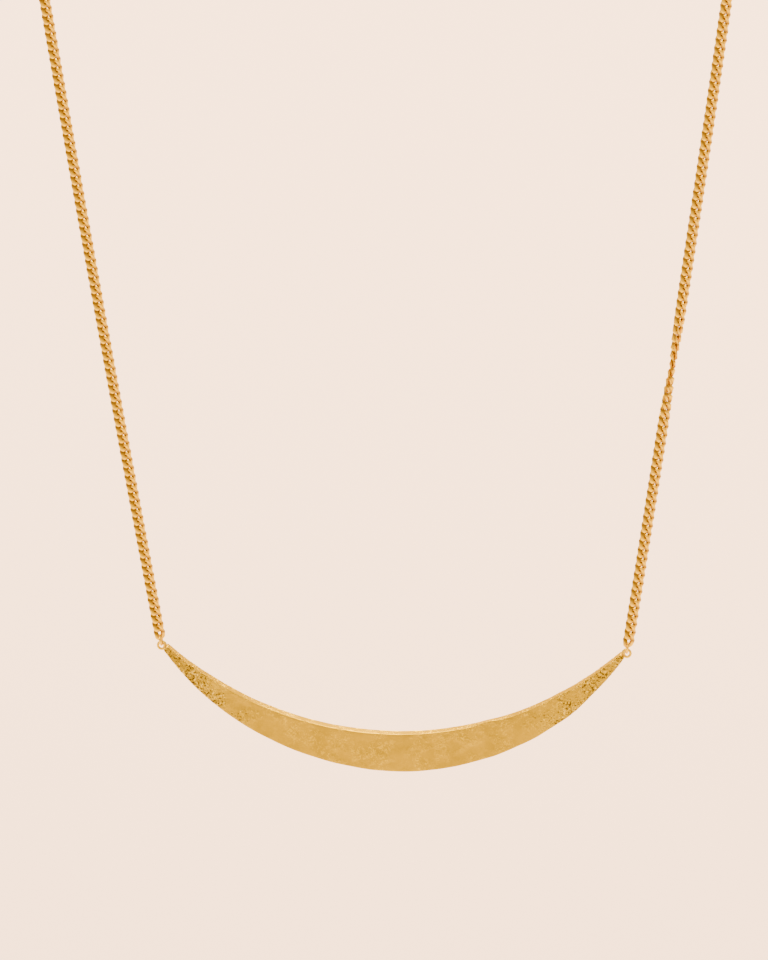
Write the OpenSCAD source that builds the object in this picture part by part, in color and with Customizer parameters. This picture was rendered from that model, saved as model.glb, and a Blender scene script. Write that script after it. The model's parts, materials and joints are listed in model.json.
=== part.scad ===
// Crescent necklace: a flat gold crescent hung by its two points from a fine curb chain.
// Millimetres, +Z up. The loop stands in the XZ plane, with the face of the crescent towards -Y.
// The origin is the top of the loop, where it lies on the nape, at the middle of the clasp.

/* [Crescent] */
// Width of the plate from point to point
crescent_w = 60.4; // [56:0.2:66]
// Drop of the lowest edge below the line through the points
crescent_drop = 16; // [14:0.25:18]
// Height of the plate at its middle
crescent_h = 4.9; // [4.5:0.05:5.6]
// Thickness of the plate
crescent_t = 1.6; // [1.2:0.1:2]
// Width of the plate on the line through the points
point_w = 1; // [0.9:0.05:1.2]
// Radius that rounds each point
point_r = 0.38; // [0.34:0.01:0.4]

/* [Soldered eyes] */
// Radius of the eye at each point, to the middle of its wire
eye_r = 0.5; // [0.48:0.01:0.54]
// Radius of the eye's wire
eye_wire = 0.17; // [0.15:0.01:0.17]
// Direction of the eye from the end of the plate, in degrees above level
eye_angle = 30; // [20:1:35]

/* [Rings] */
// Radius of the ring between eye and chain, to the middle of its wire
tip_ring_r = 0.62; // [0.62:0.01:0.68]
// Radius of that ring's wire
tip_ring_wire = 0.16; // [0.14:0.01:0.16]
// Radius of the ring at each upper end of the chain, to the middle of its wire
end_ring_r = 1.2; // [1.15:0.01:1.3]
// Radius of that ring's wire
end_ring_wire = 0.2; // [0.16:0.01:0.2]
// Play between two rings that hang one in the other
play = 0.05; // [0.04:0.01:0.06]

/* [Chain] */
// Width of the chain, seen on its face
chain_w = 1.4; // [1.2:0.05:1.6]
// Thickness of the chain, seen on its edge
chain_t = 0.8; // [0.7:0.05:0.9]
// Radius of the eye that ends the chain, to the middle of its wire
chain_eye_r = 0.51; // [0.5:0.01:0.54]
// Radius of that eye's wire
chain_eye_wire = 0.19; // [0.16:0.01:0.19]
// Outward lean of the chain at the crescent, in degrees
tip_lean = 9.2; // [8.6:0.1:10.2]
// Outward lean of the chain where its round top begins, in degrees
shoulder_lean = 7.9; // [7:0.1:8.5]
// Height of the nearly straight stretch
chain_rise = 108; // [90:1:130]
// Height above the crescent at which the half turn of the right chain begins
twist_low = 27.2; // [15:0.2:40]
// Height over which the right chain makes its half turn
twist_rise = 22.2; // [18:0.2:30]

/* [Clasp] */
// Radius of the clasp, to the middle of its round section
clasp_r = 2.4; // [2:0.1:3]
// Radius of the clasp's round section
clasp_wire = 0.6; // [0.5:0.05:0.6]
// Radius of the loop on the clasp, to the middle of its wire
loop_r = 0.8; // [0.75:0.05:1]
// Radius of that loop's wire
loop_wire = 0.3; // [0.2:0.05:0.3]

/* [Hidden] */
ring_fn = 48;
wire_fn = 24;
disc_fn = 180;
face_gold = [0.90, 0.69, 0.31];
chain_gold = [0.88, 0.64, 0.25];
clasp_gold = [0.93, 0.73, 0.36];

// Both edges of the crescent are arcs through three known points each
half_w = crescent_w / 2;
lower_r = (half_w * half_w + crescent_drop * crescent_drop) / (2 * crescent_drop);
lower_c = lower_r - crescent_drop;
upper_sag = crescent_drop - crescent_h;
upper_half = half_w - point_w;
upper_r = (upper_half * upper_half + upper_sag * upper_sag) / (2 * upper_sag);
upper_c = upper_r - upper_sag;

// Centre of the round end, which touches both arcs from inside the plate
in_r = lower_r - point_r;
out_r = upper_r + point_r;
end_z = (upper_c * upper_c - lower_c * lower_c + in_r * in_r - out_r * out_r) / (2 * (upper_c - lower_c));
end_x = sqrt(in_r * in_r - (end_z - lower_c) * (end_z - lower_c));

// The round end is a hair narrower than the plate, so that the two meet along clean edges
end_step = 0.01;

// The eye overlaps the round end, and its hole stays clear of it
eye_clear = 0.08;
eye_reach = point_r + eye_r - eye_wire + eye_clear;
eye_x = end_x + eye_reach * cos(eye_angle);
eye_z = end_z + eye_reach * sin(eye_angle);

// Hanging point: the middle of the eye's wire where the ring bears on it
hang_x = eye_x + eye_r * sin(tip_lean);
hang_up = eye_z + eye_r * cos(tip_lean);

// Route of the right chain from the hanging point: a slight bow, then an arc to the top
bow = (tan(tip_lean) - tan(shoulder_lean)) / (2 * chain_rise);
shoulder_x = hang_x + tan(tip_lean) * chain_rise - bow * chain_rise * chain_rise;
top_r = shoulder_x / cos(shoulder_lean);
hang_z = -(chain_rise + top_r * sin(shoulder_lean) + top_r);
crescent_z = hang_z - hang_up;

// Distances along the chain, first from the hanging point and then from the top of the loop
tip_ring_at = hook(eye_r, eye_wire, tip_ring_r, tip_ring_wire) - eye_r;
chain_eye_at = tip_ring_at + hook(tip_ring_r, tip_ring_wire, chain_eye_r, chain_eye_wire);
chain_start = chain_eye_at + chain_eye_r;
loop_at = clasp_r + clasp_wire + loop_r;
ring_left_at = loop_at + hook(loop_r, loop_wire, end_ring_r, end_ring_wire);
ring_right_at = hook(clasp_r, clasp_wire, end_ring_r, end_ring_wire);
ring_to_eye = hook(end_ring_r, end_ring_wire, chain_eye_r, chain_eye_wire);

// Section of the chain's body, and how many sections each stretch of it has
sides = 8;
low_steps = 4;
twist_steps = 12;
high_steps = 8;
arc_steps = 15;

// Distance between the centres of two rings at right angles that hang one in the other
function hook(r1, wire1, r2, wire2) = r1 + r2 - wire1 - wire2 - play;

// Angle on the top arc, from the top, of a length along it
function arc_angle(along) = along / top_r * 180 / PI;

// A place on the route is [x, z, lean]: on the straight stretch by its height,
function straight_place(h) = [
    hang_x + tan(tip_lean) * h - bow * h * h,
    hang_z + h,
    atan(tan(tip_lean) - 2 * bow * h)
];

// and on the top arc by its angle from the top
function arc_place(a) = [top_r * sin(a), top_r * (cos(a) - 1), a - 90];

// Even values from a to b in n steps, without b
function steps(a, b, n) = [for (i = [0 : n - 1]) a + (b - a) * i / n];

// Share of the half turn that is done at height h, with a soft start and end
function turned(h) = let (t = max(0, min(1, (h - twist_low) / twist_rise))) t * t * (3 - 2 * t);

// Points of one section: its width lies across the route in the XZ plane when turn is 0
function section(place, turn) = [
    for (i = [0 : sides - 1])
        let (
            u = chain_w / 2 * cos(360 * i / sides),
            v = chain_t / 2 * sin(360 * i / sides),
            across = u * cos(turn) - v * sin(turn),
            out = u * sin(turn) + v * cos(turn)
        )
        [place[0] + across * cos(place[2]), out, place[1] - across * sin(place[2])]
];

// Triangles of a tube through n sections, closed by a flat face at each end
function tube_faces(n) = concat(
    [[for (i = [0 : sides - 1]) i]],
    [
        for (k = [0 : n - 2], i = [0 : sides - 1])
            let (a = k * sides + i, b = k * sides + (i + 1) % sides)
            each [[a, a + sides, b + sides], [a, b + sides, b]]
    ],
    [[for (i = [sides - 1 : -1 : 0]) (n - 1) * sides + i]]
);

// Round ring about the Z axis
module ring(r, wire) {
    rotate_extrude($fn = ring_fn)
        translate([r, 0])
            circle(wire, $fn = wire_fn);
}

// Place on the right chain, at a distance up it from the hanging point
module up_chain(along) {
    translate([hang_x, 0, hang_z])
        rotate([0, tip_lean, 0])
            translate([0, 0, along])
                children();
}

// Place on the top arc, at a distance to the right of the top
module on_arc(along) {
    translate([0, 0, -top_r])
        rotate([0, arc_angle(along), 0])
            translate([0, 0, top_r])
                children();
}

// Disc of the plate's thickness, with its axis along Y
module disc(x, z, r, t) {
    translate([x, 0, z])
        rotate([90, 0, 0])
            cylinder(h = t, r = r, center = true, $fn = disc_fn);
}

// Part of the front view in which the plate lies between its round ends
module plate_field() {
    low = [end_x, end_z - lower_c] / in_r;
    high = [end_x, end_z - upper_c] / out_r;
    outer = [end_x + point_r * low[0], end_z + point_r * low[1]];
    inner = [end_x - point_r * high[0], end_z - point_r * high[1]];
    rotate([90, 0, 0])
        linear_extrude(height = 2 * crescent_t, center = true)
            polygon([
                outer, inner, [-inner[0], inner[1]], [-outer[0], outer[1]],
                [-outer[0], -2 * crescent_drop], [outer[0], -2 * crescent_drop]
            ]);
}

// Flat plate between two arcs, with blunt round points and a soldered eye at each
module crescent() {
    color(face_gold)
        translate([0, 0, crescent_z]) {
            intersection() {
                difference() {
                    disc(0, lower_c, lower_r, crescent_t);
                    disc(0, upper_c, upper_r, 2 * crescent_t);
                }
                plate_field();
            }
            for (side = [-1, 1]) {
                disc(side * end_x, end_z, point_r - end_step, crescent_t);
                translate([side * eye_x, 0, eye_z])
                    rotate([90, 0, 0])
                        ring(eye_r, eye_wire);
            }
        }
}

// Ring between the soldered eye and the chain, edge on to the viewer
module tip_ring() {
    color(chain_gold)
        up_chain(tip_ring_at)
            rotate([0, 90, 0])
                ring(tip_ring_r, tip_ring_wire);
}

// Body of a chain with an eye at each end, from the crescent to a distance short of the top
module chain(eye_from_top, turn) {
    first = chain_start * cos(tip_lean);
    last = arc_angle(eye_from_top + chain_eye_r);
    shoulder = 90 + shoulder_lean;
    twist_high = twist_low + twist_rise;
    heights = concat(
        steps(first, twist_low, low_steps),
        steps(twist_low, twist_high, twist_steps),
        steps(twist_high, chain_rise, high_steps)
    );
    sections = concat(
        [for (h = heights) section(straight_place(h), turn * turned(h))],
        [for (a = concat(steps(shoulder, last, arc_steps), [last])) section(arc_place(a), turn)]
    );
    color(chain_gold) {
        polyhedron(points = [for (s = sections, p = s) p], faces = tube_faces(len(sections)));
        up_chain(chain_eye_at)
            rotate([90, 0, 0])
                ring(chain_eye_r, chain_eye_wire);
        on_arc(eye_from_top)
            rotate([90, 0, 0])
                ring(chain_eye_r, chain_eye_wire);
    }
}

// Plain closed clasp with a small loop on its left
module clasp() {
    color(clasp_gold) {
        rotate([90, 0, 0])
            ring(clasp_r, clasp_wire);
        on_arc(-loop_at)
            rotate([90, 0, 0])
                ring(loop_r, loop_wire);
    }
}

// Ring between the chain's upper eye and the clasp
module end_ring(along) {
    color(clasp_gold)
        on_arc(along)
            ring(end_ring_r, end_ring_wire);
}

crescent();
mirror([1, 0, 0]) tip_ring();  // tip_ring_left
tip_ring();  // tip_ring_right
mirror([1, 0, 0]) chain(ring_left_at + ring_to_eye, 0);  // chain_left
chain(ring_right_at + ring_to_eye, 180);  // chain_right
clasp();
end_ring(-ring_left_at);  // end_ring_left
end_ring(ring_right_at);  // end_ring_right
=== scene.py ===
import json
import math

import bpy
from mathutils import Euler, Matrix, Vector


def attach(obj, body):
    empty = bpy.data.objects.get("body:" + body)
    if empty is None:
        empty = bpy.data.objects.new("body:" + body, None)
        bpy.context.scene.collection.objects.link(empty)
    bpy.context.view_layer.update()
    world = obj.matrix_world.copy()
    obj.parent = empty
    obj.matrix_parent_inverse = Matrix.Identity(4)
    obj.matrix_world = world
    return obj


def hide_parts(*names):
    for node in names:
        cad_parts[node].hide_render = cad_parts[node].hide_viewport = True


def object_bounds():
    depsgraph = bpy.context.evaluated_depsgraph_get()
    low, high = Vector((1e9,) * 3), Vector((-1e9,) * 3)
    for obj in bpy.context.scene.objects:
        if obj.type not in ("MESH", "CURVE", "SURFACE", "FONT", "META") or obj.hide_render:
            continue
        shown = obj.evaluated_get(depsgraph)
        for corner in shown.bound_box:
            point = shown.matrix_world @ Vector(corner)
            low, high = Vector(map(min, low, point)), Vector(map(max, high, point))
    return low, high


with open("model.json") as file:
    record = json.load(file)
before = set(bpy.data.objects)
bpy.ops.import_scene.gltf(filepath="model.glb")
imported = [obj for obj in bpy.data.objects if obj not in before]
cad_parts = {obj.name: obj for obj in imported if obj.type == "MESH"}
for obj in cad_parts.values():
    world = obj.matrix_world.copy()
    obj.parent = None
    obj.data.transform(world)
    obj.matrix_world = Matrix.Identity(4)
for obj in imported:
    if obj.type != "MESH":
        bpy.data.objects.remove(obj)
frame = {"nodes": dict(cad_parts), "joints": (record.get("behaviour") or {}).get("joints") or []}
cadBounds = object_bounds()
print("frame loaded with", len(frame["nodes"]), "nodes")

mm = 0.001
hair = 0.001 * mm  # nearer than this counts as the same place
seedSize = 0.1 * mm  # of a plane that is merged to one point
hangHeight = frame["joints"][0]["pos_m"][2]  # height of the two hanging points


# Small helpers

def selectOnly(obj):
    bpy.ops.object.select_all(action="DESELECT")
    obj.select_set(True)
    bpy.context.view_layer.objects.active = obj


def applyModifier(obj, modifier):
    selectOnly(obj)
    bpy.ops.object.modifier_apply(modifier=modifier.name)


def smooth(obj, angle):
    selectOnly(obj)
    bpy.ops.object.shade_smooth_by_angle(angle=math.radians(angle))


def mix(a, b, share):
    return a + (b - a) * share


def clampShare(value):
    return max(0.0, min(1.0, value))


def softStep(value):
    share = clampShare(value)
    return share * share * (3 - 2 * share)


def markVertices(obj, test):
    for vertex in obj.data.vertices:
        vertex.select = test(vertex.co)
    for edge in obj.data.edges:
        edge.select = all(obj.data.vertices[i].select for i in edge.vertices)
    for face in obj.data.polygons:
        face.select = False


# Camera at the photo's angle

cameraSizes = {
    "azimuth": 6.0,
    "elevation": 17.0,
    "roll": -0.87,
    "distance": 1.2,
    "lens": 347.9,
    "clip": (0.05, 20.0),
    "aimX": -0.93 * mm,
    "aimUp": 22.5 * mm,  # middle of the picture above the hanging points
}


def makeCamera(sizes):
    turn, lift = math.radians(sizes["azimuth"]), math.radians(sizes["elevation"])
    level = math.cos(lift)
    back = Vector((math.sin(turn) * level, -math.cos(turn) * level, math.sin(lift)))
    aim = Vector((sizes["aimX"], 0, hangHeight + sizes["aimUp"]))
    bpy.ops.object.camera_add(location=aim + back * sizes["distance"])
    camera = bpy.context.object
    facing = Euler((math.pi / 2 - lift, 0, turn)).to_matrix()
    roll = Matrix.Rotation(math.radians(sizes["roll"]), 3, "Z")
    camera.rotation_euler = (facing @ roll).to_euler()
    camera.data.lens = sizes["lens"]
    camera.data.clip_start, camera.data.clip_end = sizes["clip"]
    bpy.context.scene.camera = camera


makeCamera(cameraSizes)
print("camera placed")


# Materials

def newMaterial(name):
    material = bpy.data.materials.new(name)
    material.use_nodes = True
    tree = material.node_tree
    tree.nodes.clear()
    shader = tree.nodes.new("ShaderNodeBsdfPrincipled")
    output = tree.nodes.new("ShaderNodeOutputMaterial")
    tree.links.new(shader.outputs["BSDF"], output.inputs["Surface"])
    return material, tree, shader


def addNoise(tree, source, scale, detail, roughness=0.5, distortion=0.0):
    noise = tree.nodes.new("ShaderNodeTexNoise")
    noise.inputs["Scale"].default_value = scale
    noise.inputs["Detail"].default_value = detail
    noise.inputs["Roughness"].default_value = roughness
    noise.inputs["Distortion"].default_value = distortion
    tree.links.new(source, noise.inputs["Vector"])
    return noise.outputs["Fac"]


def addMath(tree, operation, *values):
    block = tree.nodes.new("ShaderNodeMath")
    block.operation = operation
    for socket, value in zip(block.inputs, values):
        if isinstance(value, (int, float)):
            socket.default_value = value
        else:
            tree.links.new(value, socket)
    return block.outputs["Value"]


def addRange(tree, source, limits, results=(0, 1)):
    block = tree.nodes.new("ShaderNodeMapRange")
    block.inputs["From Min"].default_value, block.inputs["From Max"].default_value = limits
    block.inputs["To Min"].default_value, block.inputs["To Max"].default_value = results
    tree.links.new(source, block.inputs["Value"])
    return block.outputs["Result"]


def addBlend(tree, factor, first, second):
    blend = tree.nodes.new("ShaderNodeMix")
    blend.data_type = "RGBA"
    # a colour mix has its factor at 0, its two colours at 6 and 7 and its result at 2
    for socket, value in ((blend.inputs[6], first), (blend.inputs[7], second)):
        if isinstance(value, tuple):
            socket.default_value = (*value, 1)
        else:
            tree.links.new(value, socket)
    tree.links.new(factor, blend.inputs[0])
    return blend.outputs[2]


def addBump(tree, height, strength, distance, normal=None):
    bump = tree.nodes.new("ShaderNodeBump")
    bump.inputs["Strength"].default_value = strength
    bump.inputs["Distance"].default_value = distance
    tree.links.new(height, bump.inputs["Height"])
    if normal is not None:
        tree.links.new(normal, bump.inputs["Normal"])
    return bump.outputs["Normal"]


chainLook = {
    "bright": (0.90, 0.665, 0.002),
    "deep": (0.80, 0.575, 0.002),
    # painted shade: the dark tone laid where the links meet and overlap
    "paintedShade": (0.24, 0.13, 0.008),
    "rim": (1.0, 0.80, 0.14),
    # scale and detail of each pattern
    "tone": (900.0, 2.0),
    "grain": (9000.0, 3.0),
    "paintedShadeRange": (0.45, 1),
    "grainRange": (0.3, 0.7),
    "roughness": (0.24, 0.36),
    "bump": (0.25, 0.01 * mm),  # strength and height
}


def makeChainGold(name, look):
    material, tree, shader = newMaterial(name)
    place = tree.nodes.new("ShaderNodeTexCoord").outputs["Object"]
    tone = addNoise(tree, place, *look["tone"])
    grain = addNoise(tree, place, *look["grain"])
    paintedShade = tree.nodes.new("ShaderNodeAttribute")  # painted shade in the links' crevices, bends and middles; the links alone have it, not rings and clasp
    paintedShade.attribute_name = "paintedShade"
    tone = addBlend(tree, tone, look["deep"], look["bright"])
    # painted shade over the gold, wherever the links' attribute gives it
    shade = addRange(tree, paintedShade.outputs["Fac"], look["paintedShadeRange"])
    tone = addBlend(tree, shade, tone, look["paintedShade"])
    tree.links.new(tone, shader.inputs["Base Color"])
    shader.inputs["Metallic"].default_value = 1.0
    shader.inputs["Specular Tint"].default_value = (*look["rim"], 1)
    rough = addRange(tree, grain, look["grainRange"], look["roughness"])
    tree.links.new(rough, shader.inputs["Roughness"])
    tree.links.new(addBump(tree, grain, *look["bump"]), shader.inputs["Normal"])
    return material


chainGold = makeChainGold("chainGold", chainLook)
claspGold = makeChainGold("claspGold", chainLook)

crescentLook = {
    "gold": (0.505, 0.385, 0.0),
    "deep": (0.415, 0.315, 0.0),
    "pale": (0.74, 0.585, 0.002),
    "pit": (0.095, 0.06, 0.014),
    # painted glint: a bright gold standing in for highlights near the points
    "paintedGlint": (0.92, 0.78, 0.12),
    # painted shade: the dark tone of the left point
    "tipShadeColour": (0.20, 0.135, 0.004),
    # painted light: the plate's sides get a paler gold than its faces, as the lit top side shows
    "side": (0.74, 0.57, 0.0),
    "rim": (1.0, 0.82, 0.10),
    "faceAt": (0.62 * mm, 0.74 * mm),  # from side to face, by distance from the middle plane
    "pointsAt": (16.5 * mm, 25.5 * mm),  # pits and painted glints come in between these
    "tipShadeAt": (-25 * mm, -29 * mm),  # painted shade: the left point is darker
    "tipShadeShare": (0, 0.4),
    # scale, detail, roughness and distortion of each pattern
    "mottle": (420.0, 4.0, 0.65),
    "patches": (260.0, 2.0),
    "specks": (3000.0, 2.0, 0.6, 1.2),
    "grain": (9000.0, 3.0, 0.6),
    "clusters": (520.0, 1.0),
    "pitting": (3400.0, 3.0, 0.7),
    # part of each pattern that is used, and what it gives where that isn't 0 to 1
    "mottleRange": (0.36, 0.62),
    "patchRange": (0.44, 0.56),
    "patchShare": (0.15, 1),
    "speckRange": (0.52, 0.62),
    "speckShare": 0.7,
    "clusterRange": (0.35, 0.65),
    "clusterShift": (-0.3, 0.3),
    "pitRange": (0.475, 0.425),
    "glintRange": (0.56, 0.61),
    "thinning": 0.22,  # how much rarer pits and painted glints are away from the points
    "faceRoughness": 0.5,
    "pitRoughness": 0.34,
    "sideRoughness": 0.28,
    # strength and height of each bump
    "grainBump": (0.35, 0.012 * mm),
    "speckBump": (0.7, 0.03 * mm),
    "pitBump": (1.0, 0.3 * mm),
}


def makeCrescentGold(name, look):
    material, tree, shader = newMaterial(name)
    place = tree.nodes.new("ShaderNodeTexCoord").outputs["Object"]
    axes = tree.nodes.new("ShaderNodeSeparateXYZ")
    tree.links.new(place, axes.inputs["Vector"])
    out = addMath(tree, "ABSOLUTE", axes.outputs["X"])
    depth = addMath(tree, "ABSOLUTE", axes.outputs["Y"])
    face = addRange(tree, depth, look["faceAt"])

    mottle = addNoise(tree, place, *look["mottle"])
    patches = addNoise(tree, place, *look["patches"])
    patches = addRange(tree, patches, look["patchRange"], look["patchShare"])
    specks = addNoise(tree, place, *look["specks"])
    specks = addRange(tree, specks, look["speckRange"])
    specks = addMath(tree, "MULTIPLY", specks, patches)
    grain = addNoise(tree, place, *look["grain"])

    # pits and painted glints crowd in clusters towards the points, on the faces alone
    clusters = addNoise(tree, place, *look["clusters"])
    clusters = addRange(tree, clusters, look["clusterRange"], look["clusterShift"])
    crowding = addRange(tree, out, look["pointsAt"])
    crowding = addMath(tree, "ADD", crowding, clusters)
    crowding = addRange(tree, crowding, (0, 1))  # kept between 0 and 1
    crowding = addMath(tree, "MULTIPLY", crowding, face)
    pitting = addNoise(tree, place, *look["pitting"])
    sparse = addRange(tree, crowding, (0, 1), (look["thinning"], 0))
    pits = addRange(tree, addMath(tree, "ADD", pitting, sparse), look["pitRange"])
    glintMask = addRange(tree, addMath(tree, "SUBTRACT", pitting, sparse), look["glintRange"])
    tipShade = addRange(tree, axes.outputs["X"], look["tipShadeAt"], look["tipShadeShare"])
    pits, glintMask, tipShade = (addMath(tree, "MULTIPLY", value, face) for value in (pits, glintMask, tipShade))

    mottle = addRange(tree, mottle, look["mottleRange"])
    tone = addBlend(tree, mottle, look["deep"], look["gold"])
    paleness = addMath(tree, "MULTIPLY", specks, look["speckShare"])
    tone = addBlend(tree, paleness, tone, look["pale"])
    # painted light: the sides take the paler gold
    tone = addBlend(tree, face, look["side"], tone)
    # painted shade darkens the left point
    tone = addBlend(tree, tipShade, tone, look["tipShadeColour"])
    tone = addBlend(tree, pits, tone, look["pit"])
    # painted glints: bright specks over the pits
    tone = addBlend(tree, glintMask, tone, look["paintedGlint"])
    tree.links.new(tone, shader.inputs["Base Color"])
    shader.inputs["Metallic"].default_value = 1.0
    shader.inputs["Specular Tint"].default_value = (*look["rim"], 1)

    rough = addRange(tree, crowding, (0, 1), (look["faceRoughness"], look["pitRoughness"]))
    sideDrop = look["faceRoughness"] - look["sideRoughness"]
    rough = addMath(tree, "SUBTRACT", rough, addRange(tree, face, (0, 1), (sideDrop, 0)))
    tree.links.new(rough, shader.inputs["Roughness"])
    normal = addBump(tree, grain, *look["grainBump"])
    normal = addBump(tree, specks, *look["speckBump"], normal)
    deepPits = addMath(tree, "MULTIPLY", pitting, crowding)
    normal = addBump(tree, deepPits, *look["pitBump"], normal)
    tree.links.new(normal, shader.inputs["Normal"])
    return material


crescentGold = makeCrescentGold("crescentGold", crescentLook)
print("gold finishes mixed")


# Crescent: two arcs bridged into a face, rounded at the ends, then given its thickness

crescentSizes = {
    "width": 60.4 * mm,
    "drop": 16.0 * mm,  # of the lower edge below the points
    "height": 4.9 * mm,  # in the middle
    "thickness": 1.6 * mm,
    "pointWidth": 1.0 * mm,
    "pointRadius": 0.38 * mm,
    "eyeRadius": 0.5 * mm,
    "eyeWire": 0.17 * mm,  # radius of the eye's wire
    "eyeSteps": (48, 16),
    "eyeNarrowing": 0.55,
    "eyeAngle": 30.0,
    "eyeClear": 0.08 * mm,
    "columns": 220,
    "rows": 6,
    "sideRows": 3,
    "endSteps": 6,
    "endTouch": 0.01 * mm,
    "weld": 0.004 * mm,
    "sharpFrom": 60.0,
    "edge": 0.1 * mm,
    "edgeSteps": 2,
    "rounding": 2,  # subdivisions
    # size, depth and strength of the uneven surface
    "forging": (5 * mm, 1, 0.1 * mm),
    "hammering": (1.3 * mm, 2, 0.04 * mm),
    "pits": (0.28 * mm, 1, 0.1 * mm),
    "pitsFrom": 17 * mm,
    "pitsReach": 12 * mm,
    # distance from the middle and rise of each uneven place of an edge, and how far it reaches
    "upperShifts": ((12.2 * mm, 0.25 * mm), (21.6 * mm, 0.2 * mm)),
    "upperReach": 2.2 * mm,
    "lowerShifts": (
        (-7 * mm, -0.1 * mm), (-2 * mm, -0.2 * mm), (3 * mm, -0.26 * mm), (8 * mm, -0.26 * mm),
        (13 * mm, -0.26 * mm), (18 * mm, -0.26 * mm), (23 * mm, -0.26 * mm)),
    "lowerReach": 5 * mm,
}


def crescentArcs(sizes):
    # radius and centre of both edges, and the middle of the rounded end between them
    half = sizes["width"] / 2
    lowerRadius = (half ** 2 + sizes["drop"] ** 2) / (2 * sizes["drop"])
    sag = sizes["drop"] - sizes["height"]
    inner = half - sizes["pointWidth"]
    upperRadius = (inner ** 2 + sag ** 2) / (2 * sag)
    lowerCentre = lowerRadius - sizes["drop"]
    upperCentre = upperRadius - sag
    near = lowerRadius - sizes["pointRadius"]
    far = upperRadius + sizes["pointRadius"]
    apart = upperCentre - lowerCentre
    endUp = (upperCentre ** 2 - lowerCentre ** 2 + near ** 2 - far ** 2) / (2 * apart)
    endOut = math.sqrt(near ** 2 - (endUp - lowerCentre) ** 2)
    return {
        "lower": (lowerRadius, lowerCentre),
        "upper": (upperRadius, upperCentre),
        "end": (endOut, endUp),
    }


def spinPoint(start, steps, angle, centre):
    bpy.ops.mesh.select_all(action="DESELECT")
    bpy.ops.mesh.primitive_plane_add(size=seedSize, location=start)
    bpy.ops.mesh.merge(type="CENTER")
    bpy.ops.mesh.spin(steps=steps, angle=angle, center=centre, axis=(0, 1, 0))


def roundEnd(obj, side, arcs, across, steps, touch):
    centre = Vector((side * arcs["end"][0], 0, arcs["end"][1]))
    outward = Vector((side * math.cos(across), 0, math.sin(across)))

    def onHalfColumn(place):
        step = Vector((place.x, 0, place.z)) - centre
        along = step.dot(outward)
        return along > -touch and (step - outward * along).length < touch

    bpy.ops.object.mode_set(mode="OBJECT")
    markVertices(obj, onHalfColumn)
    bpy.ops.object.mode_set(mode="EDIT")
    pivot = (centre.x, obj.data.vertices[0].co.y, centre.z)
    bpy.ops.mesh.spin(steps=steps, angle=side * math.pi, center=pivot, axis=(0, 1, 0))


def shiftEdge(plate, sizes, arcs, edge):
    # the edges stand out or in a little in places, as forged metal does
    radius, centre = arcs[edge]
    front = -sizes["thickness"] / 2
    for out, rise in sizes[edge + "Shifts"]:
        spot = Vector((out, front, centre - math.sqrt(radius ** 2 - out ** 2)))
        nearest = min(plate.data.vertices, key=lambda vertex: (vertex.co - spot).length).co.copy()
        markVertices(plate, lambda place: (place - nearest).length < hair)
        bpy.ops.object.mode_set(mode="EDIT")
        bpy.ops.transform.translate(
            value=(0, 0, rise), use_proportional_edit=True, use_proportional_connected=True,
            proportional_edit_falloff="SMOOTH", proportional_size=sizes[edge + "Reach"])
        bpy.ops.object.mode_set(mode="OBJECT")


def makePlate(sizes):
    arcs = crescentArcs(sizes)
    front = -sizes["thickness"] / 2
    endOut, endUp = arcs["end"]
    radius = sizes["pointRadius"]
    across = sum(math.atan2(endUp - arcs[edge][1], endOut) for edge in ("lower", "upper")) / 2
    bpy.ops.object.select_all(action="DESELECT")
    bpy.ops.mesh.primitive_plane_add(size=seedSize)
    plate = bpy.context.object
    bpy.ops.object.mode_set(mode="EDIT")
    bpy.ops.mesh.delete(type="VERT")
    for edge, sign in (("lower", 1), ("upper", -1)):
        out = endOut + sign * radius * math.cos(across)
        up = endUp + sign * radius * math.sin(across)
        centre = arcs[edge][1]
        sweep = math.pi + 2 * math.atan2(up - centre, out)
        spinPoint((-out, front, up), sizes["columns"], sweep, (0, front, centre))
    bpy.ops.mesh.select_all(action="SELECT")
    bpy.ops.mesh.bridge_edge_loops(number_cuts=sizes["rows"] - 1, interpolation="LINEAR")
    for side in (-1, 1):
        roundEnd(plate, side, arcs, across, sizes["endSteps"], sizes["endTouch"])
    bpy.ops.mesh.select_all(action="SELECT")
    bpy.ops.mesh.remove_doubles(threshold=sizes["weld"])
    bpy.ops.mesh.normals_make_consistent(inside=False)
    bpy.ops.mesh.select_all(action="SELECT")
    for step in range(sizes["sideRows"]):
        value = (0, sizes["thickness"] / sizes["sideRows"], 0)
        bpy.ops.mesh.extrude_region_move(TRANSFORM_OT_translate={"value": value})
    bpy.ops.mesh.select_all(action="SELECT")
    bpy.ops.mesh.normals_make_consistent(inside=False)
    bpy.ops.mesh.select_all(action="DESELECT")
    bpy.ops.mesh.edges_select_sharp(sharpness=math.radians(sizes["sharpFrom"]))
    bpy.ops.mesh.bevel(offset=sizes["edge"], segments=sizes["edgeSteps"], affect="EDGES")
    bpy.ops.object.mode_set(mode="OBJECT")
    for edge in ("upper", "lower"):
        shiftEdge(plate, sizes, arcs, edge)
    return plate


def eyePlace(sizes, lean):
    # centre of the soldered eye and the hanging point in it, from the middle of the tip line
    out, up = crescentArcs(sizes)["end"]
    reach = sizes["pointRadius"] + sizes["eyeRadius"] - sizes["eyeWire"] + sizes["eyeClear"]
    angle = math.radians(sizes["eyeAngle"])
    radius = sizes["eyeRadius"]
    eye = (out + reach * math.cos(angle), up + reach * math.sin(angle))
    hang = (eye[0] + radius * math.sin(lean), eye[1] + radius * math.cos(lean))
    return eye, hang


def addTipWeights(plate, sizes):
    group = plate.vertex_groups.new(name="points")
    for vertex in plate.data.vertices:
        share = softStep((abs(vertex.co.x) - sizes["pitsFrom"]) / sizes["pitsReach"])
        group.add([vertex.index], share, "REPLACE")


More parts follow.
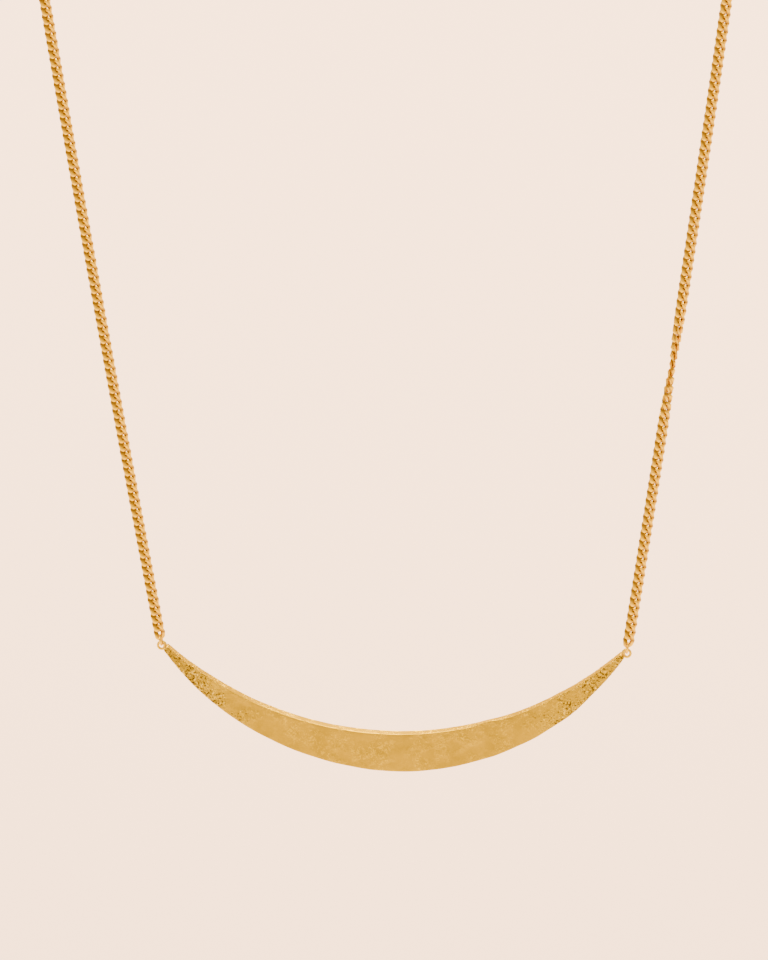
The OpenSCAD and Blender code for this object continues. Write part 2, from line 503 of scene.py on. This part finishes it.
def roughen(plate, name, size, depth, strength, group=""):
    clouds = bpy.data.textures.new(name, type="CLOUDS")
    clouds.noise_scale = size
    clouds.noise_depth = depth
    displace = plate.modifiers.new(name, "DISPLACE")
    displace.texture = clouds
    displace.texture_coords = "LOCAL"
    displace.strength = strength
    displace.mid_level = 0.5
    displace.vertex_group = group
    applyModifier(plate, displace)


def addEye(plate, sizes, place):
    ringSteps, wireSteps = sizes["eyeSteps"]
    bpy.ops.object.select_all(action="DESELECT")
    bpy.ops.mesh.primitive_torus_add(
        location=place, rotation=(math.pi / 2, 0, 0), major_radius=sizes["eyeRadius"],
        minor_radius=sizes["eyeWire"], major_segments=ringSteps, minor_segments=wireSteps)
    eye = bpy.context.object
    bpy.ops.object.transform_apply(location=False, rotation=True, scale=True)
    outward = math.copysign(1, place[0])
    inner = sizes["eyeRadius"] - hair
    # its hole is narrower towards the plate, and clear of the ring at every swing
    markVertices(eye, lambda spot: spot.xz.length < inner and spot.x * outward < -hair)
    bpy.ops.object.mode_set(mode="EDIT")
    bpy.ops.transform.resize(value=(sizes["eyeNarrowing"], 1, 1), center_override=place)
    bpy.ops.object.mode_set(mode="OBJECT")
    bpy.ops.object.transform_apply()
    union = plate.modifiers.new("eye", "BOOLEAN")
    union.operation = "UNION"
    union.solver = "EXACT"
    union.object = eye
    applyModifier(plate, union)
    bpy.data.objects.remove(eye)


def makeCrescent(sizes, lean):
    plate = makePlate(sizes)
    plate.name = "crescentPlate"
    eye, hang = eyePlace(sizes, lean)
    tipLine = hangHeight - hang[1]
    selectOnly(plate)
    bpy.ops.transform.translate(value=(0, 0, tipLine))
    bpy.ops.object.transform_apply()
    rounding = plate.modifiers.new("rounding", "SUBSURF")
    rounding.levels = rounding.render_levels = sizes["rounding"]
    applyModifier(plate, rounding)
    addTipWeights(plate, sizes)
    roughen(plate, "forging", *sizes["forging"])
    roughen(plate, "hammering", *sizes["hammering"])
    roughen(plate, "pits", *sizes["pits"], group="points")
    for side in (-1, 1):
        addEye(plate, sizes, (side * eye[0], 0, tipLine + eye[1]))
    smooth(plate, sizes["sharpFrom"])
    return plate


# Chains: one curb link, copied along each side of the route and joined

chainSizes = {
    "wire": 0.6 * mm,
    "flattening": 0.62,  # thickness of the flattened wire against its width
    "width": 1.55 * mm,
    "length": 2.31 * mm,
    "pitch": 1.13 * mm,
    "twist": -90.0,  # from one end of a link to the other, so that the links lie flat
    "thickness": 1.0 * mm,  # after filing front and back
    "middleReach": 0.12 * mm,  # only the middle corners of a link's sides are this near its middle
    # where the painted shade starts: from the wire's middle line inwards, and out along the link
    "insideFrom": -0.15,
    "bendFrom": 0.55,
    "bendReach": 0.3,
    "bendOutside": 0.4,  # share of the painted shade on the outside of the bends
    "steps": 12,
    "sides": 6,
    "sharpFrom": 50.0,
    "tipLean": 9.2,
    "shoulderLean": 7.9,
    "rise": 108 * mm,  # straight part of the route, from the hanging points to the shoulders
    "turnFrom": 27.2 * mm,  # the right side turns over from here
    "turnReach": 22.2 * mm,
    "guesses": 6,  # rounds that find the height at a length along the route
    "eyeAt": 1.01 * mm,  # middle of the lowest link's eye above the hanging point
    "eyeRadius": 0.51 * mm,
    "endLeft": 6.52 * mm,  # middle of the highest link's eye, from the top of the loop
    "endRight": 4.02 * mm,
}


def makeRoute(sizes, hang):
    # right side of the route: bowed straight from the hanging point, then the round top
    rise = sizes["rise"]
    low = math.tan(math.radians(sizes["tipLean"]))
    high = math.tan(math.radians(sizes["shoulderLean"]))
    bow = (low - high) / (2 * rise)
    shoulder = hang[0] + low * rise - bow * rise ** 2
    radius = shoulder / math.cos(math.radians(sizes["shoulderLean"]))

    def lengthTo(height):
        slopes = low, low - 2 * bow * height
        parts = [(slope * math.sqrt(1 + slope ** 2) + math.asinh(slope)) / 2 for slope in slopes]
        return (parts[0] - parts[1]) / (2 * bow)

    straight = lengthTo(rise)
    total = straight + radius * math.radians(90 + sizes["shoulderLean"])

    def placeAt(along):
        if along > straight:
            angle = (total - along) / radius
            outward, height = radius * math.sin(angle), radius * (math.cos(angle) - 1)
            return outward, height, angle - math.pi / 2, 1.0
        height = along
        for guess in range(sizes["guesses"]):
            lean = math.atan(low - 2 * bow * height)
            height += (along - lengthTo(height)) * math.cos(lean)
        lean = math.atan(low - 2 * bow * height)
        turned = softStep((height - sizes["turnFrom"]) / sizes["turnReach"])
        outward = hang[0] + low * height - bow * height ** 2
        return outward, hangHeight + height, lean, turned

    return placeAt, total


def markPaintedShade(link, sizes):
    # painted shade: dark inside the oval, round its bends and at the middle of its sides, where
    # others meet it
    paintedShade = link.data.attributes.new("paintedShade", "FLOAT", "POINT")
    ringRadius = (sizes["width"] - sizes["wire"]) / 2
    for vertex in link.data.vertices:
        inward = (ringRadius - vertex.co.xy.length) / (sizes["wire"] / 2)
        out = abs(vertex.co.x) / (sizes["width"] / 2)
        bend = (out - sizes["bendFrom"]) / sizes["bendReach"]
        bend *= clampShare(inward + 1 + sizes["bendOutside"])
        middle = 1.0 if abs(vertex.co.x) < sizes["middleReach"] else 0.0
        inside = inward - sizes["insideFrom"]
        paintedShade.data[vertex.index].value = clampShare(max(inside, bend, middle))


def makeLink(sizes, name, limits, twist):
    bpy.ops.object.select_all(action="DESELECT")
    bpy.ops.mesh.primitive_torus_add(
        major_radius=(sizes["width"] - sizes["wire"]) / 2, minor_radius=sizes["wire"] / 2,
        major_segments=sizes["steps"], minor_segments=sizes["sides"])
    link = bpy.context.object
    link.name = name
    markPaintedShade(link, sizes)
    for side in (-1, 1):  # the round ring is drawn out into an oval
        bpy.ops.object.mode_set(mode="OBJECT")
        markVertices(link, lambda place: place.x * side > sizes["middleReach"])
        bpy.ops.object.mode_set(mode="EDIT")
        stretch = side * (sizes["length"] - sizes["width"]) / 2
        bpy.ops.transform.translate(value=(stretch, 0, 0))
    bpy.ops.mesh.select_all(action="SELECT")
    bpy.ops.transform.resize(value=(1, 1, sizes["flattening"]))
    bpy.ops.object.mode_set(mode="OBJECT")
    curb = link.modifiers.new("curb", "SIMPLE_DEFORM")
    curb.deform_method = "TWIST"
    curb.deform_axis = "X"
    curb.angle = math.radians(twist)
    curb.limits = limits
    applyModifier(link, curb)
    bpy.ops.object.mode_set(mode="EDIT")
    for side in (-1, 1):  # filed flat on both faces
        bpy.ops.mesh.select_all(action="SELECT")
        bpy.ops.mesh.bisect(
            plane_co=(0, 0, side * sizes["thickness"] / 2), plane_no=(0, 0, side),
            use_fill=True, clear_outer=True)
    bpy.ops.object.mode_set(mode="OBJECT")
    smooth(link, sizes["sharpFrom"])
    return link


def makeChain(sizes, name, side, route, total, end, curbLinks):
    lowest = sizes["eyeAt"] - sizes["eyeRadius"] + (sizes["length"] - sizes["wire"]) / 2
    highest = total - end + sizes["eyeRadius"] - (sizes["length"] - sizes["wire"]) / 2
    count = round((highest - lowest) / sizes["pitch"]) + 1
    copies = []
    for number in range(count):
        outward, height, lean, turned = route(mix(lowest, highest, number / (count - 1)))
        along = Vector((side * math.sin(lean), 0, math.cos(lean)))
        across = Vector((math.cos(lean), 0, -side * math.sin(lean)))
        facing = Matrix((along, across, along.cross(across))).transposed().to_4x4()
        turn = Matrix.Rotation(math.pi * turned if side > 0 else 0, 4, "X")
        kind = "last" if number == count - 1 else "middle"
        copy = curbLinks[kind].copy()
        copy.data = curbLinks[kind].data.copy()
        copy.matrix_world = Matrix.Translation((side * outward, 0, height)) @ facing @ turn
        bpy.context.collection.objects.link(copy)
        copies.append(copy)
    bpy.ops.object.select_all(action="DESELECT")
    for copy in copies:
        copy.select_set(True)
    chain = copies[0]
    bpy.context.view_layer.objects.active = chain
    bpy.ops.object.transform_apply()
    bpy.ops.object.join()
    chain.name = name
    return chain, count


# Crescent, chains and their gold

def giveFinish(obj, material):
    obj.data.materials.clear()
    obj.data.materials.append(material)


tipLean = math.radians(chainSizes["tipLean"])
crescent = makeCrescent(crescentSizes, tipLean)
giveFinish(crescent, crescentGold)
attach(crescent, "pendant")
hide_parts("crescent")
print("crescent made,", len(crescent.data.polygons), "faces")

placeAt, routeLength = makeRoute(chainSizes, eyePlace(crescentSizes, tipLean)[1])
curbLinks = {  # the last link has no neighbour above it, so its upper half isn't twisted
    "middle": makeLink(chainSizes, "linkMiddle", (0, 1), chainSizes["twist"]),
    "last": makeLink(chainSizes, "linkLast", (0, 0.5), chainSizes["twist"] / 2),
}
for side, name, end in ((-1, "left", "endLeft"), (1, "right", "endRight")):
    chainName = "curbChain" + name.capitalize()
    chain, count = makeChain(
        chainSizes, chainName, side, placeAt, routeLength, chainSizes[end], curbLinks)
    giveFinish(chain, chainGold)
    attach(chain, "necklace")
    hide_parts("chain_" + name)
    print("chain on the", name, "made of", count, "links")
for link in curbLinks.values():
    bpy.data.objects.remove(link)

for nodeName, material in (
        ("tip_ring_left", chainGold), ("tip_ring_right", chainGold),
        ("end_ring_left", claspGold), ("end_ring_right", claspGold), ("clasp", claspGold)):
    for slot in frame["nodes"][nodeName].material_slots:
        slot.material = material
print("rings and clasp finished")


# Stage: pale floor, soft light

stageSizes = {
    "floorDrop": 240 * mm,  # below the lowest point of the crescent
    "floorSize": 8.0,
    "floorColour": (0.95, 0.90, 0.84),
    "floorTone": (3.0, 3.0),  # scale and detail of its faint unevenness
    "floorFaint": 0.97,
    "floorRoughness": 0.9,
    "floorGloss": 0.1,
    "worldColour": (1.0, 0.62, 0.38),
    "worldStrength": 1.6,
    "lightColour": (1.0, 0.65, 0.42),
}

# place, aim, width, height and power of each light
lightSizes = {
    "backLight": ((0, 1.5, 2.0), (0, 1.3, -0.4), 1.4, 1.4, 300.0),
    "rearCard": ((0, 1.5, -0.05), (0, 0, -0.05), 2.4, 1.0, 5.0),
    "keyLight": ((-0.7, -0.5, 0.7), (0, 0, -0.1), 0.4, 0.4, 10.0),
}


def makeFloor(sizes):
    low = cadBounds[0][2] - sizes["floorDrop"]
    bpy.ops.object.select_all(action="DESELECT")
    bpy.ops.mesh.primitive_plane_add(size=sizes["floorSize"], location=(0, 0, low))
    floor = bpy.context.object
    floor.name = "floor"
    bpy.ops.object.transform_apply()
    material, tree, shader = newMaterial("floorPaper")
    place = tree.nodes.new("ShaderNodeTexCoord").outputs["Object"]
    tone = addNoise(tree, place, *sizes["floorTone"])
    colour = sizes["floorColour"]
    faint = tuple(sizes["floorFaint"] * value for value in colour)
    tree.links.new(addBlend(tree, tone, faint, colour), shader.inputs["Base Color"])
    shader.inputs["Roughness"].default_value = sizes["floorRoughness"]
    shader.inputs["Specular IOR Level"].default_value = sizes["floorGloss"]
    floor.data.materials.append(material)


def lightRoom(sizes):
    room = bpy.data.worlds.new("paleRoom")
    bpy.context.scene.world = room
    room.use_nodes = True
    background = room.node_tree.nodes["Background"]
    background.inputs["Color"].default_value = (*sizes["worldColour"], 1)
    background.inputs["Strength"].default_value = sizes["worldStrength"]


def addSoftLight(name, colour, place, aim, width, height, power):
    bpy.ops.object.light_add(type="AREA", location=place)
    light = bpy.context.object
    light.name = name
    light.data.shape = "RECTANGLE"
    light.data.size, light.data.size_y = width, height
    light.data.energy = power
    light.data.color = colour
    light.rotation_euler = (Vector(aim) - Vector(place)).to_track_quat("-Z", "Y").to_euler()


makeFloor(stageSizes)
lightRoom(stageSizes)
for lightName, sizes in lightSizes.items():
    addSoftLight(lightName, stageSizes["lightColour"], *sizes)
print("floor and lights set")

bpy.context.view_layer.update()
